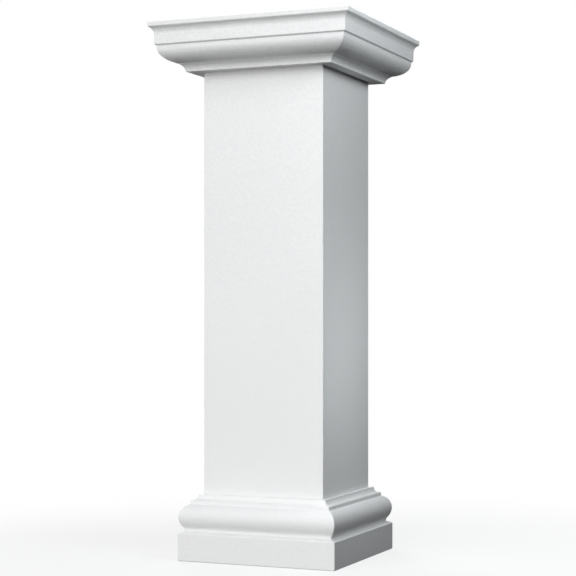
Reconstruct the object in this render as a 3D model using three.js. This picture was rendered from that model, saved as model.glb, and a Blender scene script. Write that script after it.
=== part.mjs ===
// A square tuscan column: a hollow shaft that stands in a moulded base and carries a moulded cap.
// Millimetres, +Z up. The origin is on the floor, on the column's axis.
import * as THREE from 'three';

// Whole column
const columnHeight = 1219;
const shaftWidth = 292;
const shaftWall = 13;
const shaftEdgeRadius = 2;

// Fits between the pieces
const slideClearance = 0.4;
const restClearance = 0.3;
const capLipThickness = 12;

// Base, from the floor up. A reach is measured outwards from the shaft's face.
const plinthReach = 45;
const plinthHeight = 62.5;
const weatheringRise = 5;
const neckReach = 32.6;
const neckRadius = 14;
const torusDepth = 26;
const torusLowerRise = 31.3;
const torusUpperRise = 29.5;
const torusUnderTurn = 46;
const torusTopTurn = 77;
const baseFilletHeight = 8.5;
const baseFilletDraft = 0.3;
const baseLedgeDepth = 4.5;
const baseLedgeRise = 1;
const baseCoveDepth = 9;
const baseCoveRise = 12.3;

// Cap, from its underside up
const soffitReach = 31.2;
const cymaLowerRadius = 20;
const cymaUpperRadius = 6;
const cymaFootLean = 5;
const cymaMiddleLean = 63;
const cymaTopLean = 35;
const ovoloDepth = 48.5;
const ovoloRise = 33.8;
const ovoloTurn = 75;
const ovoloBandHeight = 4.5;
const fasciaLipDepth = 3.6;
const fasciaLipRise = 3;
const fasciaHeight = 22.1;
const fasciaDraft = 0.6;
const capCoveRadius = 18.3;
const capCoveTurn = 52;
const capSlopeLength = 2.5;
const capNoseRadius = 4;
const capFilletHeight = 9.2;
const capFilletDraft = 0.8;

// Fineness of the round stretches
const arcStep = 5;
const edgeSegments = 6;

const whiteFinish = { color: 0xf2f3f3, roughness: 0.55, metalness: 0 };

// An outline drawn point by point in a plane of reach and height, with straight and round stretches
class Outline {
  constructor(reach, height) {
    this.points = [new THREE.Vector2(reach, height)];
  }

  get end() {
    return this.points[this.points.length - 1];
  }

  move(outwards, upwards) {
    this.points.push(new THREE.Vector2(this.end.x + outwards, this.end.y + upwards));
    return this;
  }

  goTo(reach, height) {
    this.points.push(new THREE.Vector2(reach, height));
    return this;
  }

  // A straight stretch that leans outwards from upright by that many degrees
  slope(length, lean) {
    const angle = THREE.MathUtils.degToRad(lean);
    return this.move(length * Math.sin(angle), length * Math.cos(angle));
  }

  // Angles are in degrees, and 0 is the side of the arc that faces outwards
  bend(depth, rise, startAngle, endAngle) {
    const start = THREE.MathUtils.degToRad(startAngle);
    const end = THREE.MathUtils.degToRad(endAngle);
    const centreReach = this.end.x - depth * Math.cos(start);
    const centreHeight = this.end.y - rise * Math.sin(start);
    const clockwise = endAngle < startAngle;
    const curve = new THREE.EllipseCurve(centreReach, centreHeight, depth, rise, start, end, clockwise);
    const steps = Math.max(2, Math.round(Math.abs(endAngle - startAngle) / arcStep));
    this.points.push(...curve.getPoints(steps).slice(1));
    return this;
  }
}

// The lean at which the torus's underside runs into the neck below it
function torusUnderLean() {
  const turn = THREE.MathUtils.degToRad(torusUnderTurn);
  return THREE.MathUtils.radToDeg(Math.atan2(torusDepth * Math.sin(turn), torusLowerRise * Math.cos(turn)));
}

// The base's face: plinth, neck, torus, fillet and cove
function baseFace() {
  return new Outline(plinthReach, 0)
    .move(0, plinthHeight)
    .goTo(neckReach, plinthHeight + weatheringRise)
    .bend(neckRadius, neckRadius, 180, 180 - torusUnderLean())
    .bend(torusDepth, torusLowerRise, -torusUnderTurn, 0)
    .bend(torusDepth, torusUpperRise, 0, torusTopTurn)
    .move(-baseFilletDraft, baseFilletHeight)
    .move(-baseLedgeDepth, baseLedgeRise)
    .bend(baseCoveDepth, baseCoveRise, 270, 180);
}

// The cap's face: small cyma, ovolo, fascia, cove and top fillet
function capFace() {
  return new Outline(soffitReach, 0)
    .bend(cymaLowerRadius, cymaLowerRadius, 180 - cymaFootLean, 180 - cymaMiddleLean)
    .bend(cymaUpperRadius, cymaUpperRadius, -cymaMiddleLean, -cymaTopLean)
    .bend(ovoloDepth, ovoloRise, -ovoloTurn, 0)
    .move(fasciaDraft, ovoloBandHeight)
    .move(fasciaLipDepth, fasciaLipRise)
    .move(fasciaDraft, fasciaHeight)
    .bend(capCoveRadius, capCoveRadius, 180, 180 - capCoveTurn)
    .slope(capSlopeLength, capCoveTurn)
    .bend(capNoseRadius, capNoseRadius, -capCoveTurn, 0)
    .move(capFilletDraft, capFilletHeight);
}

// A lathe of four segments takes a closed outline round the shaft with mitred corners
function mitredRing(outline) {
  const acrossCorners = ({ x, y }) => new THREE.Vector2((shaftWidth / 2 + x) * Math.SQRT2, y);
  const closed = [...outline.points, outline.points[0]].map(acrossCorners);
  return new THREE.LatheGeometry(closed, 4, Math.PI / 4).rotateX(Math.PI / 2);
}

function baseGeometry() {
  const outline = baseFace();
  outline.goTo(slideClearance, outline.end.y).goTo(slideClearance, 0);
  return mitredRing(outline);
}

// The cap's lip rests on the shaft's top end and leaves the shaft's hollow open
function capGeometry(capHeight) {
  const outline = capFace();
  outline
    .goTo(-shaftWall, capHeight)
    .goTo(-shaftWall, capHeight - capLipThickness)
    .goTo(slideClearance, capHeight - capLipThickness)
    .goTo(slideClearance, 0);
  return mitredRing(outline);
}

function roundedSquare(halfWidth, radius) {
  const straight = halfWidth - radius;
  const quarter = Math.PI / 2;
  return new THREE.Shape()
    .moveTo(halfWidth, -straight)
    .absarc(straight, straight, radius, 0, quarter)
    .absarc(-straight, straight, radius, quarter, 2 * quarter)
    .absarc(-straight, -straight, radius, 2 * quarter, 3 * quarter)
    .absarc(straight, -straight, radius, 3 * quarter, 4 * quarter);
}

function squareHole(halfWidth) {
  return new THREE.Path()
    .moveTo(halfWidth, halfWidth)
    .lineTo(halfWidth, -halfWidth)
    .lineTo(-halfWidth, -halfWidth)
    .lineTo(-halfWidth, halfWidth)
    .closePath();
}

function shaftGeometry() {
  const section = roundedSquare(shaftWidth / 2, shaftEdgeRadius);
  section.holes.push(squareHole(shaftWidth / 2 - shaftWall));
  const shaftHeight = columnHeight - capLipThickness - restClearance;
  return new THREE.ExtrudeGeometry(section, {
    depth: shaftHeight,
    bevelEnabled: false,
    curveSegments: edgeSegments,
  });
}

function piece(name, geometry) {
  const mesh = new THREE.Mesh(geometry, new THREE.MeshStandardMaterial(whiteFinish));
  mesh.name = name;
  return mesh;
}

const base = piece('base', baseGeometry());
const shaft = piece('shaft', shaftGeometry());
const capHeight = capFace().end.y;
const cap = piece('cap', capGeometry(capHeight));
cap.position.z = columnHeight - capHeight;

const column = new THREE.Group();
column.add(base, shaft, cap);

export default column;
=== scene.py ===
from math import atan, cos, degrees, pi, radians, sin, tan

import bpy
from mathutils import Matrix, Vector


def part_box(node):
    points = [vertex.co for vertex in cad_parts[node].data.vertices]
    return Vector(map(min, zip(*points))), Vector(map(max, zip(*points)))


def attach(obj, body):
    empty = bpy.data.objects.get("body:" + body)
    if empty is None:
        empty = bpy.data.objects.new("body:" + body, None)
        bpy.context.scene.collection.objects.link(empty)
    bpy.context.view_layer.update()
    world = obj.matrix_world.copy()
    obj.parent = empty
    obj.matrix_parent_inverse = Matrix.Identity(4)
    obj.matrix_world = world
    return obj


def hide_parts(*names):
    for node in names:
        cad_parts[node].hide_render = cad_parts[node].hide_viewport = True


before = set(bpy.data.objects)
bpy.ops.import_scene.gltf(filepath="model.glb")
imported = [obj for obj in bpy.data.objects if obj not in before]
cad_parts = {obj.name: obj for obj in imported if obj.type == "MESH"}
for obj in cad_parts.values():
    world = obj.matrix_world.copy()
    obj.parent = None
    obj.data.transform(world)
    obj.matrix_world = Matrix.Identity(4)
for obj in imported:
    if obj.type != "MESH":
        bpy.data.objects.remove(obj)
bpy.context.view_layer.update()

# The column as packed, in metres
base_low, base_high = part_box("base")
shaft_low, shaft_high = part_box("shaft")
cap_low, cap_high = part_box("cap")
SHAFT_HALF = shaft_high.x
BASE_HEIGHT = base_high.z - base_low.z
CAP_HEIGHT = cap_high.z - cap_low.z
PLINTH_REACH = base_high.x - SHAFT_HALF
CAP_REACH = cap_high.x - SHAFT_HALF

# Base moulding, from the floor up: reaches are measured outwards from the shaft's face
WEATHERING_RISE = 0.005
NECK_REACH = 0.0326
NECK_RADIUS = 0.014
TORUS_DEPTH = 0.026
TORUS_LOWER_RISE = 0.0313
TORUS_UPPER_RISE = 0.0295
TORUS_UNDER_TURN = 46
TORUS_TOP_TURN = 77
BASE_FILLET_HEIGHT = 0.0085
BASE_FILLET_DRAFT = 0.0003
BASE_LEDGE_DEPTH = 0.0045
BASE_LEDGE_RISE = 0.001
BASE_COVE_DEPTH = 0.009
BASE_COVE_RISE = 0.0123

# Cap moulding, from its underside up
SOFFIT_REACH = 0.0312
CYMA_LOWER_RADIUS = 0.020
CYMA_UPPER_RADIUS = 0.006
CYMA_FOOT_LEAN = 5
CYMA_MIDDLE_LEAN = 63
CYMA_TOP_LEAN = 35
OVOLO_DEPTH = 0.0485
OVOLO_RISE = 0.0338
OVOLO_TURN = 75
OVOLO_BAND_HEIGHT = 0.0045
FASCIA_LIP_DEPTH = 0.0036
FASCIA_LIP_RISE = 0.003
FASCIA_HEIGHT = 0.0221
FASCIA_DRAFT = 0.0006
CAP_COVE_RADIUS = 0.0183
CAP_COVE_TURN = 52
CAP_SLOPE_LENGTH = 0.0025
CAP_NOSE_RADIUS = 0.004

# What the pieces hide
SHAFT_WALL = 0.013
SLIDE_CLEARANCE = 0.0004
CAP_LIP_THICKNESS = 0.012

# Softened corners and arrises, and how finely the round stretches are drawn
SHAFT_EDGE_RADIUS = 0.002
MITRE_EDGE_RADIUS = 0.0018
SHAFT_ARRIS_RADIUS = 0.0008
MOULDING_ARRIS_RADIUS = 0.0022
ARRIS_TURN = 14
ARC_STEP = 2.5
LEAST_ARC_STEPS = 3
EDGE_STEPS = 6
ARRIS_STEPS = 4
MERGE_DISTANCE = 0.00001

# The camera stands level, and sees the cap from below and the base from above, as the photo does
CAMERA_AZIMUTH = 23
CAMERA_DISTANCE = 3.74
EYE_HEIGHT = 0.546
SENSOR_WIDTH = 36
FRAME_MARGIN = 0.008

# Finish: a fine stipple, larger dimples, faint lines along the mouldings and broad clouds.
# Sizes are in metres, and the turn of the grain is in radians.
CLEAR_WHITE = (0.838, 0.838, 0.838, 1)
SHADE_WHITE = (0.752, 0.758, 0.762, 1)
MIDDLE_TONE = 0.5
MATTE = 0.6
MATTE_SPREAD = 0.3
NOISE_MIDDLE = 0.5
NOISE_DETAIL = 2
NOISE_ROUGHNESS = 0.5
STIPPLE_SIZE = 0.003
STIPPLE_ROUGHNESS = 0.6
STIPPLE_SHARE = 0.6
DIMPLE_SIZE = 0.008
RELIEF_DEPTH = 0.0006
CLOUD_SIZE = 0.22
CLOUD_DETAIL = 3
CLOUD_SHARE = 0.5
RUN_LINE_SIZE = 0.003
RUN_STRETCH = (0.06, 0.06, 1)
MOULDING_RUN_LINES = 0.7
MOULDING_GRAIN = 1.5
SHAFT_GRAIN = 0.9
GRAIN_TURN = (0.61, 0.43, 0.97)

# The grain is faint at the foot and full at the cap
FAINT_HEIGHT = 0.25
FULL_HEIGHT = 1.0
FAINT_GRAIN = 0.4

# Studio: a soft glow in front of the column, and a pale floor that fades into plain white
PLAIN_WHITE = (1, 1, 1, 1)
PLAIN_STRENGTH = 1.0
SKY_FOOT = -0.25
SKY_FULL = 0.45
SKY_STRENGTH = 0.1
GLOW_AZIMUTH = -15
GLOW_ELEVATION = 13
GLOW_NARROWNESS = 5
GLOW_STRENGTH = 3.3
FLOOR_COLOUR = (0.86, 0.865, 0.87, 1)
FLOOR_HALF = 40
FLOOR_FADE_START = 0.4
FLOOR_FADE_END = 1.5
FLOOR_GLOW_SHARE = 0.7

# Lamps, in watts, metres and degrees. Azimuth 0 is in front of the face towards -Y, and it grows
# towards +X. A lamp without a spread of its own shines all round its front.
COOL_LIGHT = (0.93, 0.98, 1)
PLAIN_LIGHT = (1, 1, 1)
FULL_SPREAD = 180
LAMPS = {
    "cap side": {
        "colour": COOL_LIGHT, "power": 12.6, "width": 0.8, "length": 0.8,
        "azimuth": 65, "distance": 1.5, "height": 1.65, "aim_height": 1.1,
    },
    "cap face": {
        "colour": COOL_LIGHT, "power": 0.35, "width": 0.6, "length": 0.6, "spread": 60,
        "azimuth": 65, "distance": 1.5, "height": 1.55, "aim_height": 1.15,
    },
    "overhead side": {
        "colour": COOL_LIGHT, "power": 14.5, "width": 1.0, "length": 0.2,
        "azimuth": 80, "distance": 0.42, "height": 2.4, "aim_height": 0.3,
    },
    "shaft side": {
        "colour": COOL_LIGHT, "power": 0.2, "width": 0.3, "length": 0.3, "spread": 70,
        "azimuth": 85, "distance": 0.8, "height": 0.45, "aim_height": 0.45,
    },
    "rear": {
        "colour": PLAIN_LIGHT, "power": 65, "width": 2.0, "length": 2.0,
        "azimuth": -140, "distance": 3.2, "height": 1.6, "aim_height": 0.6,
    },
}


class Outline:
    """A closed outline in a plane of reach and height, with straight and round stretches."""

    def __init__(self, reach, height):
        self.points = [(reach, height)]

    def go_to(self, reach, height):
        self.points.append((reach, height))
        return self

    def move(self, outwards, upwards):
        reach, height = self.points[-1]
        return self.go_to(reach + outwards, height + upwards)

    def slope(self, length, lean):
        """A straight stretch that leans outwards from upright by that many degrees."""
        return self.move(length * sin(radians(lean)), length * cos(radians(lean)))

    def bend(self, depth, rise, start, end):
        """A stretch of an ellipse. Angles are in degrees, and 0 is the side that faces outwards."""
        reach, height = self.points[-1]
        centre_reach = reach - depth * cos(radians(start))
        centre_height = height - rise * sin(radians(start))
        steps = max(LEAST_ARC_STEPS, round(abs(end - start) / ARC_STEP))
        for step in range(1, steps + 1):
            angle = radians(start + (end - start) * step / steps)
            self.go_to(centre_reach + depth * cos(angle), centre_height + rise * sin(angle))
        return self


def neck_lean():
    """The lean, in degrees, at which the torus's underside runs into the neck below it."""
    return degrees(atan(TORUS_DEPTH / TORUS_LOWER_RISE * tan(radians(TORUS_UNDER_TURN))))


def plinth_height():
    """What is left of the base's height below the moulding that stands on the plinth."""
    neck_rise = NECK_RADIUS * sin(radians(neck_lean()))
    lower_rise = TORUS_LOWER_RISE * sin(radians(TORUS_UNDER_TURN))
    upper_rise = TORUS_UPPER_RISE * sin(radians(TORUS_TOP_TURN))
    top_rise = BASE_FILLET_HEIGHT + BASE_LEDGE_RISE + BASE_COVE_RISE
    return BASE_HEIGHT - WEATHERING_RISE - neck_rise - lower_rise - upper_rise - top_rise


def base_outline():
    return (
        Outline(PLINTH_REACH, 0)
        .move(0, plinth_height())
        .go_to(NECK_REACH, plinth_height() + WEATHERING_RISE)
        .bend(NECK_RADIUS, NECK_RADIUS, 180, 180 - neck_lean())
        .bend(TORUS_DEPTH, TORUS_LOWER_RISE, -TORUS_UNDER_TURN, 0)
        .bend(TORUS_DEPTH, TORUS_UPPER_RISE, 0, TORUS_TOP_TURN)
        .move(-BASE_FILLET_DRAFT, BASE_FILLET_HEIGHT)
        .move(-BASE_LEDGE_DEPTH, BASE_LEDGE_RISE)
        .bend(BASE_COVE_DEPTH, BASE_COVE_RISE, 270, 180)
        .go_to(SLIDE_CLEARANCE, BASE_HEIGHT)
        .go_to(SLIDE_CLEARANCE, 0)
    )


def cap_outline():
    return (
        Outline(SOFFIT_REACH, 0)
        .bend(CYMA_LOWER_RADIUS, CYMA_LOWER_RADIUS, 180 - CYMA_FOOT_LEAN, 180 - CYMA_MIDDLE_LEAN)
        .bend(CYMA_UPPER_RADIUS, CYMA_UPPER_RADIUS, -CYMA_MIDDLE_LEAN, -CYMA_TOP_LEAN)
        .bend(OVOLO_DEPTH, OVOLO_RISE, -OVOLO_TURN, 0)
        .move(FASCIA_DRAFT, OVOLO_BAND_HEIGHT)
        .move(FASCIA_LIP_DEPTH, FASCIA_LIP_RISE)
        .move(FASCIA_DRAFT, FASCIA_HEIGHT)
        .bend(CAP_COVE_RADIUS, CAP_COVE_RADIUS, 180, 180 - CAP_COVE_TURN)
        .slope(CAP_SLOPE_LENGTH, CAP_COVE_TURN)
        .bend(CAP_NOSE_RADIUS, CAP_NOSE_RADIUS, -CAP_COVE_TURN, 0)
        .go_to(CAP_REACH, CAP_HEIGHT)
        .go_to(-SHAFT_WALL, CAP_HEIGHT)
        .go_to(-SHAFT_WALL, CAP_HEIGHT - CAP_LIP_THICKNESS)
        .go_to(SLIDE_CLEARANCE, CAP_HEIGHT - CAP_LIP_THICKNESS)
        .go_to(SLIDE_CLEARANCE, 0)
    )


def shaft_outline():
    return (
        Outline(0, shaft_low.z)
        .go_to(0, shaft_high.z)
        .go_to(-SHAFT_WALL, shaft_high.z)
        .go_to(-SHAFT_WALL, shaft_low.z)
    )


class Wire:
    """A socket of a node tree. Sums on it add Math nodes to the tree."""

    def __init__(self, tree, socket):
        self.tree = tree
        self.socket = socket

    def math(self, operation, *values):
        return Bench(self.tree).add("ShaderNodeMath", values, operation=operation)

    def __add__(self, other):
        return self.math("ADD", self, other)

    def __radd__(self, other):
        return self.math("ADD", other, self)

    def __sub__(self, other):
        return self.math("SUBTRACT", self, other)

    def __rsub__(self, other):
        return self.math("SUBTRACT", other, self)

    def __mul__(self, other):
        return self.math("MULTIPLY", self, other)

    def __rmul__(self, other):
        return self.math("MULTIPLY", other, self)

    def __truediv__(self, other):
        return self.math("DIVIDE", self, other)

    def __rtruediv__(self, other):
        return self.math("DIVIDE", other, self)

    def __mod__(self, other):
        return self.math("MODULO", self, other)

    def __rmod__(self, other):
        return self.math("MODULO", other, self)

    def __pow__(self, other):
        return self.math("POWER", self, other)

    def __rpow__(self, other):
        return self.math("POWER", other, self)

    def floor(self):
        return self.math("FLOOR", self)

    def cos(self):
        return self.math("COSINE", self)

    def sin(self):
        return self.math("SINE", self)

    def at_least(self, least):
        return self.math("MAXIMUM", self, least)


class Bench:
    """Adds nodes to one tree."""

    def __init__(self, tree):
        self.tree = tree

    def add(self, kind, values=(), output=0, **settings):
        """A node of that kind. Its settings are set first, then its inputs, by order or by name."""
        node = self.tree.nodes.new(kind)
        for name, value in settings.items():
            setattr(node, name, value)
        named = values.items() if isinstance(values, dict) else enumerate(values)
        for key, value in named:
            self.plug(value, node.inputs[key])
        return Wire(self.tree, node.outputs[output]) if node.outputs else None

    def plug(self, value, socket):
        if isinstance(value, Wire):
            self.tree.links.new(value.socket, socket)
        else:
            socket.default_value = value

    def noise(self, place, size, detail=NOISE_DETAIL, roughness=NOISE_ROUGHNESS):
        """Soft noise round 0, whose grains are about that many metres across."""
        values = {"Vector": place, "Scale": 1 / size, "Detail": detail, "Roughness": roughness}
        return self.add("ShaderNodeTexNoise", values) - NOISE_MIDDLE

    def ramp(self, value, start, end, first=0.0):
        """A soft rise from the first value to 1, while the given value goes from start to end."""
        values = {"Value": value, "From Min": start, "From Max": end, "To Min": first}
        return self.add("ShaderNodeMapRange", values, interpolation_type="SMOOTHSTEP")

    def mix_colours(self, share, first, second):
        """A Mix node's sockets 6 and 7 are its two colours, and its output 2 is the mixed one."""
        values = {"Factor": share, 6: first, 7: second}
        return self.add("ShaderNodeMix", values, output=2, data_type="RGBA")


def clean_bench(owner):
    """A bench on the owner's own node tree, with nothing on it yet."""
    owner.use_nodes = True
    owner.node_tree.nodes.clear()
    return Bench(owner.node_tree)


# The ring: an outline taken round the square shaft, with mitred corners
RING_INPUTS = {
    "Outline": "NodeSocketGeometry",
    "Shaft Half": "NodeSocketFloat",
    "Edge Radius": "NodeSocketFloat",
    "Edge Steps": "NodeSocketInt",
    "Arris Radius": "NodeSocketFloat",
    "Merge Distance": "NodeSocketFloat",
    "Material": "NodeSocketMaterial",
}


def ring_tree():
    """Geometry Nodes that sweep an outline round a square, with softened corners and arrises."""
    tree = bpy.data.node_groups.new("square_ring", "GeometryNodeTree")
    for name, kind in RING_INPUTS.items():
        tree.interface.new_socket(name, in_out="INPUT", socket_type=kind)
    tree.interface.new_socket("Ring", in_out="OUTPUT", socket_type="NodeSocketGeometry")
    bench = Bench(tree)
    given = {name: bench.add("NodeGroupInput", output=name) for name in RING_INPUTS}

    outline = bench.add("GeometryNodeMeshToCurve", {"Mesh": given["Outline"]})
    outline = bench.add("GeometryNodeSetSplineCyclic", {"Geometry": outline, "Cyclic": True})
    arris = bench.add("GeometryNodeInputNamedAttribute", {"Name": "arris"}, data_type="FLOAT")
    rounding = arris * given["Arris Radius"]
    outline = bench.add(
        "GeometryNodeFilletCurve",
        {"Curve": outline, "Count": ARRIS_STEPS, "Radius": rounding, "Limit Radius": True},
        mode="POLY",
    )
    outline_points = bench.add(
        "GeometryNodeAttributeDomainSize", {"Geometry": outline}, component="CURVE"
    )

    # The grid's rows run round the outline, and its columns run round the square
    edge_points = given["Edge Steps"] + 1
    grid = bench.add(
        "GeometryNodeMeshGrid",
        {"Vertices X": 4 * edge_points + 1, "Vertices Y": outline_points + 1},
    )
    index = bench.add("GeometryNodeInputIndex")
    column = (index / (outline_points + 1)).floor()
    row = index - column * (outline_points + 1)
    position = bench.add("GeometryNodeInputPosition")
    on_outline = bench.add(
        "GeometryNodeSampleIndex",
        {"Geometry": outline, "Value": position, "Index": row % outline_points},
        data_type="FLOAT_VECTOR",
        domain="POINT",
    )
    reach = bench.add("ShaderNodeSeparateXYZ", (on_outline,), output="X")
    height = bench.add("ShaderNodeSeparateXYZ", (on_outline,), output="Z")

    # Each corner is a quarter circle, and every further corner is turned by a right angle
    corner = (column / edge_points).floor()
    turn = (column - corner * edge_points) / given["Edge Steps"] * (pi / 2)
    straight = given["Shaft Half"] + reach - given["Edge Radius"]
    along = straight + given["Edge Radius"] * turn.cos()
    across = straight + given["Edge Radius"] * turn.sin()
    quarter = corner * (pi / 2)
    place = bench.add(
        "ShaderNodeCombineXYZ",
        {
            "X": along * quarter.cos() - across * quarter.sin(),
            "Y": along * quarter.sin() + across * quarter.cos(),
            "Z": height,
        },
    )
    ring = bench.add("GeometryNodeSetPosition", {"Geometry": grid, "Position": place})
    ring = bench.add(
        "GeometryNodeMergeByDistance", {"Geometry": ring, "Distance": given["Merge Distance"]}
    )
    ring = bench.add("GeometryNodeRealizeInstances", {"Geometry": ring})
    ring = bench.add("GeometryNodeSetMaterial", {"Geometry": ring, "Material": given["Material"]})
    bench.add("NodeGroupOutput", {"Ring": ring})
    return tree


def turn_at(before, point, after):
    """How far an outline turns at a point, in degrees."""
    arriving = Vector(point) - Vector(before)
    leaving = Vector(after) - Vector(point)
    return degrees(arriving.angle(leaving))


def outline_object(name, outline, lift):
    """The outline as a chain of edges, with its sharp corners marked as arrises."""
    points = outline.points
    count = len(points)
    mesh = bpy.data.meshes.new(name)
    mesh.from_pydata(
        [(reach, 0, height + lift) for reach, height in points],
        [(number, (number + 1) % count) for number in range(count)],
        [],
    )
    arris = mesh.attributes.new("arris", "FLOAT", "POINT")
    for number in range(count):
        turn = turn_at(points[number - 1], points[number], points[(number + 1) % count])
        arris.data[number].value = float(turn > ARRIS_TURN)
    piece = bpy.data.objects.new(name, mesh)
    bpy.context.scene.collection.objects.link(piece)
    return piece


def ring_piece(name, outline, lift, edge_radius, arris_radius, material):
    """The outline swept round the shaft, as a plain mesh."""
    piece = outline_object(name, outline, lift)
    ring = piece.modifiers.new("ring", "NODES")
    ring.node_group = RING_TREE
    values = {
        "Shaft Half": SHAFT_HALF,
        "Edge Radius": edge_radius,
        "Edge Steps": EDGE_STEPS,
        "Arris Radius": arris_radius,
        "Merge Distance": MERGE_DISTANCE,
        "Material": material,
    }
    for item in RING_TREE.interface.items_tree:
        if item.name in values:
            ring[item.identifier] = values[item.name]
    weighted = piece.modifiers.new("even shading", "WEIGHTED_NORMAL")
    weighted.keep_sharp = False
    evaluated = piece.evaluated_get(bpy.context.evaluated_depsgraph_get())
    mesh = bpy.data.meshes.new_from_object(evaluated)
    piece.modifiers.clear()
    piece.data = mesh
    mesh.name = name
    # The grid starts with an empty material slot, which nothing uses
    mesh.materials.pop(index=0)
    return piece


def dress(piece, node):
    """The piece hangs from the root body in place of a node of the frame, whose own part is hidden.
    """
    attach(piece, "root")
    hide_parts(node)


def white_finish(name, grain, run_lines):
    """Matte white, with a fine grain and, on mouldings, faint lines along their run."""
    material = bpy.data.materials.new(name)
    bench = clean_bench(material)
    place = bench.add("ShaderNodeTexCoord", output="Object")
    height = bench.add("ShaderNodeSeparateXYZ", (place,), output="Z")
    strength = bench.ramp(height, FAINT_HEIGHT, FULL_HEIGHT, first=FAINT_GRAIN)

    # The grain is turned askew, so that none of it lines up with the column's faces
    askew = bench.add("ShaderNodeMapping", {"Vector": place, "Rotation": GRAIN_TURN})
    stipple = bench.noise(askew, STIPPLE_SIZE, roughness=STIPPLE_ROUGHNESS)
    dimples = bench.noise(askew, DIMPLE_SIZE)
    cloud = bench.noise(askew, CLOUD_SIZE, detail=CLOUD_DETAIL)
    along = bench.add("ShaderNodeVectorMath", (place, RUN_STRETCH), operation="MULTIPLY")
    lines = bench.noise(along, RUN_LINE_SIZE)

    relief = (stipple * STIPPLE_SHARE + dimples) * strength
    mottle = relief * grain + lines * run_lines * strength * grain
    tone = MIDDLE_TONE + mottle + cloud * CLOUD_SHARE
    shader = bench.add(
        "ShaderNodeBsdfPrincipled",
        {
            "Base Color": bench.mix_colours(tone, SHADE_WHITE, CLEAR_WHITE),
            "Roughness": MATTE + stipple * MATTE_SPREAD,
            "Normal": bench.add("ShaderNodeBump", {"Height": relief, "Distance": RELIEF_DEPTH}),
        },
    )
    bench.add("ShaderNodeOutputMaterial", {"Surface": shader})
    return material


def studio_world():
    """A wide soft glow from in front over a faint even sky. Seen directly, it is plain white."""
    world = bpy.data.worlds.new("studio")
    bpy.context.scene.world = world
    bench = clean_bench(world)
    way = bench.add("ShaderNodeTexCoord", output="Generated")
    sky = bench.ramp(bench.add("ShaderNodeSeparateXYZ", (way,), output="Z"), SKY_FOOT, SKY_FULL)
    turn = radians(GLOW_AZIMUTH)
    rise = radians(GLOW_ELEVATION)
    middle = (sin(turn) * cos(rise), -cos(turn) * cos(rise), sin(rise))
    nearness = bench.add(
        "ShaderNodeVectorMath", (way, middle), output="Value", operation="DOT_PRODUCT"
    )
    glow = nearness.at_least(0) ** GLOW_NARROWNESS
    light = bench.add(
        "ShaderNodeBackground",
        {"Color": PLAIN_WHITE, "Strength": sky * SKY_STRENGTH + glow * GLOW_STRENGTH},
    )
    backdrop = bench.add(
        "ShaderNodeBackground", {"Color": PLAIN_WHITE, "Strength": PLAIN_STRENGTH}
    )
    seen = bench.add("ShaderNodeLightPath", output="Is Camera Ray")
    shown = bench.add("ShaderNodeMixShader", (seen, light, backdrop))
    bench.add("ShaderNodeOutputWorld", {"Surface": shown})


def studio_floor():
    """A plain pale floor that fades into the white round it."""
    mesh = bpy.data.meshes.new("floor")
    half = FLOOR_HALF
    mesh.from_pydata(
        [(-half, -half, 0), (half, -half, 0), (half, half, 0), (-half, half, 0)],
        [],
        [(0, 1, 2, 3)],
    )
    floor = bpy.data.objects.new("floor", mesh)
    bpy.context.scene.collection.objects.link(floor)
    material = bpy.data.materials.new("pale floor")
    bench = clean_bench(material)
    place = bench.add("ShaderNodeTexCoord", output="Object")
    distance = bench.add("ShaderNodeVectorMath", (place,), output="Value", operation="LENGTH")
    far = bench.ramp(distance, FLOOR_FADE_START, FLOOR_FADE_END, first=FLOOR_GLOW_SHARE)
    matte = bench.add("ShaderNodeBsdfDiffuse", {"Color": FLOOR_COLOUR})
    glow = bench.add("ShaderNodeEmission", {"Color": PLAIN_WHITE, "Strength": PLAIN_STRENGTH})
    shown = bench.add("ShaderNodeMixShader", (far, matte, glow))
    bench.add("ShaderNodeOutputMaterial", {"Surface": shown})
    mesh.materials.append(material)
    # The floor throws no light back, so that the undersides of the mouldings stay dark
    floor.visible_diffuse = False
    floor.visible_glossy = False


def soft_light(
    name, colour, power, width, length, azimuth, distance, height, aim_height, spread=FULL_SPREAD
):
    """An area light that looks at the column's axis."""
    light = bpy.data.lights.new(name, "AREA")
    light.shape = "RECTANGLE"
    light.size = width
    light.size_y = length
    light.energy = power
    light.spread = radians(spread)
    light.color = colour
    lamp = bpy.data.objects.new(name, light)
    bpy.context.scene.collection.objects.link(lamp)
    turn = radians(azimuth)
    lamp.location = (sin(turn) * distance, -cos(turn) * distance, height)
    aim = Vector((0, 0, aim_height)) - lamp.location
    lamp.rotation_euler = aim.to_track_quat("-Z", "Y").to_euler()


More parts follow.
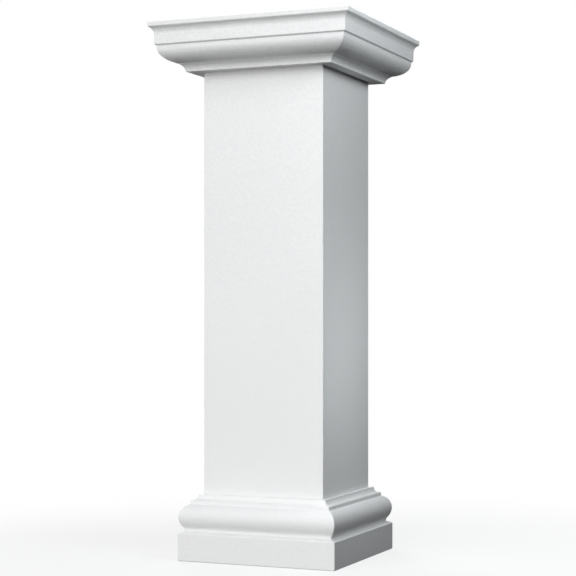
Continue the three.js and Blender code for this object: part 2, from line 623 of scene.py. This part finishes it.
def level_camera():
    """A level camera that frames the column from top to foot."""
    data = bpy.data.cameras.new("camera")
    camera = bpy.data.objects.new("camera", data)
    bpy.context.scene.collection.objects.link(camera)
    turn = radians(CAMERA_AZIMUTH)
    back = Vector((sin(turn), -cos(turn), 0))
    camera.location = back * CAMERA_DISTANCE + Vector((0, 0, EYE_HEIGHT))
    camera.rotation_euler = (-back).to_track_quat("-Z", "Y").to_euler()

    # The near corners of the cap's top and of the plinth's foot set the frame
    top = Vector((cap_high.x, -cap_high.x, cap_high.z))
    foot = Vector((base_high.x, -base_high.x, 0))
    rise = (top.z - EYE_HEIGHT) / (CAMERA_DISTANCE - top.dot(back))
    fall = (EYE_HEIGHT - foot.z) / (CAMERA_DISTANCE - foot.dot(back))
    data.sensor_width = SENSOR_WIDTH
    data.lens = SENSOR_WIDTH * (1 - 2 * FRAME_MARGIN) / (rise + fall)
    data.shift_y = (rise - fall) / 2 * data.lens / SENSOR_WIDTH
    bpy.context.scene.camera = camera


RING_TREE = ring_tree()
moulding_white = white_finish("stippled white", MOULDING_GRAIN, MOULDING_RUN_LINES)
shaft_white = white_finish("smooth white", SHAFT_GRAIN, 0)

base = ring_piece(
    "base_moulding",
    base_outline(),
    lift=0,
    edge_radius=MITRE_EDGE_RADIUS,
    arris_radius=MOULDING_ARRIS_RADIUS,
    material=moulding_white,
)
dress(base, "base")
shaft = ring_piece(
    "shaft_casing",
    shaft_outline(),
    lift=0,
    edge_radius=SHAFT_EDGE_RADIUS,
    arris_radius=SHAFT_ARRIS_RADIUS,
    material=shaft_white,
)
dress(shaft, "shaft")
cap = ring_piece(
    "cap_moulding",
    cap_outline(),
    lift=cap_low.z,
    edge_radius=MITRE_EDGE_RADIUS,
    arris_radius=MOULDING_ARRIS_RADIUS,
    material=moulding_white,
)
dress(cap, "cap")

level_camera()
studio_world()
studio_floor()
for lamp_name, lamp_values in LAMPS.items():
    soft_light(lamp_name, **lamp_values)
bpy.context.scene.view_settings.view_transform = "Standard"
